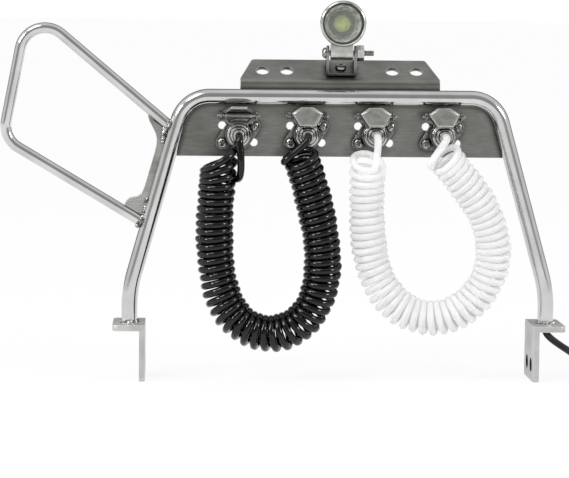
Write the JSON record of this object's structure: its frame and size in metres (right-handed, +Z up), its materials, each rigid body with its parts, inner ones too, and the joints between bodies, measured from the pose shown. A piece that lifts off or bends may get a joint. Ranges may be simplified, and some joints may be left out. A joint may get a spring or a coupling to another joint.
{
  "type": "model truck hose rack",
  "caption": "Bent steel tube rack on foot brackets, with a folded plate of lidded sockets, plugged curly hoses, a tilting lamp and a side handle, for the back of a model truck's cab.",
  "frame": {"origin": "on the floor under the middle of the rack's box, its loose lamp lead and hoses not counted", "axes": "+X to the right along the hoop's top as seen from the sockets, +Y to the back, away from the sockets, +Z up"},
  "size_m": [0.1432, 0.0193, 0.0762],
  "materials": {
    "polished_stainless": "polished",
    "bead_blasted_stainless": "bead blasted, matte",
    "brushed_stainless": "brushed",
    "satin_nickel": "cast and nickel plated, satin",
    "turned_aluminium": "turned, bright",
    "plated_screw_steel": "plated, satin",
    "mirror_reflector": "vacuum plated",
    "clear_lens": "clear, gloss",
    "led_resin": "gloss",
    "black_hose_plastic": "gloss",
    "clear_hose_plastic": "milky, gloss",
    "black_cable_rubber": "satin",
    "black_moulded_plastic": "matte"
  },
  "bodies": {
    "rack": {"hoop_tube": "polished_stainless", "side_handle": "polished_stainless", "left_foot_bracket": "bead_blasted_stainless", "right_foot_bracket": "bead_blasted_stainless", "handle_bracket": "brushed_stainless", "socket_plate": "brushed_stainless", "socket_1_body": "satin_nickel", "socket_1_lid_pin": "turned_aluminium", "socket_1_plug": "turned_aluminium", "socket_1_upper_screw": "plated_screw_steel", "socket_1_upper_nut": "plated_screw_steel", "socket_1_lower_screw": "plated_screw_steel", "socket_1_lower_nut": "plated_screw_steel", "socket_2_body": "satin_nickel", "socket_2_lid_pin": "turned_aluminium", "socket_2_plug": "turned_aluminium", "socket_2_upper_screw": "plated_screw_steel", "socket_2_upper_nut": "plated_screw_steel", "socket_2_lower_screw": "plated_screw_steel", "socket_2_lower_nut": "plated_screw_steel", "socket_3_body": "satin_nickel", "socket_3_lid_pin": "turned_aluminium", "socket_3_plug": "turned_aluminium", "socket_3_upper_screw": "plated_screw_steel", "socket_3_upper_nut": "plated_screw_steel", "socket_3_lower_screw": "plated_screw_steel", "socket_3_lower_nut": "plated_screw_steel", "socket_4_body": "satin_nickel", "socket_4_lid_pin": "turned_aluminium", "socket_4_plug": "turned_aluminium", "socket_4_upper_screw": "plated_screw_steel", "socket_4_upper_nut": "plated_screw_steel", "socket_4_lower_screw": "plated_screw_steel", "socket_4_lower_nut": "plated_screw_steel", "bracket_screw": "plated_screw_steel", "bracket_nut": "plated_screw_steel", "black_hose": "black_hose_plastic", "white_hose": "clear_hose_plastic", "lamp_lead": "black_cable_rubber", "lead_coil": "black_cable_rubber", "lead_tail": "black_cable_rubber", "lead_tie": "black_moulded_plastic", "lead_plug": "black_moulded_plastic"},
    "bracket": {"lamp_bracket": "brushed_stainless", "pivot_bolt": "plated_screw_steel", "pivot_nut": "plated_screw_steel"},
    "lamp": {"lamp_housing": "turned_aluminium", "lamp_bezel": "turned_aluminium", "lamp_lens": "clear_lens", "lamp_reflector": "mirror_reflector", "lamp_led": "led_resin"},
    "lid_1": {"socket_1_lid": "brushed_stainless"},
    "lid_2": {"socket_2_lid": "brushed_stainless"},
    "lid_3": {"socket_3_lid": "brushed_stainless"},
    "lid_4": {"socket_4_lid": "brushed_stainless"}
  },
  "joints": [
    {"name": "lamp_swivel", "type": "hinge", "parent": "rack", "child": "bracket", "pos_m": [0.01146, 0.00367, 0.06212], "axis": [0, -0.5592, 0.829], "range_deg": [-45, 45]},
    {"name": "lamp_tilt", "type": "hinge", "parent": "bracket", "child": "lamp", "pos_m": [0.01146, 0.00126, 0.06569], "axis": [1, 0, 0], "range_deg": [-25, 30]},
    {"name": "lid_1_hinge", "type": "hinge", "parent": "rack", "child": "lid_1", "pos_m": [-0.00929, -0.00398, 0.0532], "axis": [-1, 0, 0], "range_deg": [-65, 0]},
    {"name": "lid_2_hinge", "type": "hinge", "parent": "rack", "child": "lid_2", "pos_m": [0.00441, -0.00398, 0.0532], "axis": [-1, 0, 0], "range_deg": [0, 65]},
    {"name": "lid_3_hinge", "type": "hinge", "parent": "rack", "child": "lid_3", "pos_m": [0.01811, -0.00398, 0.0532], "axis": [-1, 0, 0], "range_deg": [0, 65]},
    {"name": "lid_4_hinge", "type": "hinge", "parent": "rack", "child": "lid_4", "pos_m": [0.03181, -0.00398, 0.0532], "axis": [-1, 0, 0], "range_deg": [0, 65]}
  ]
}
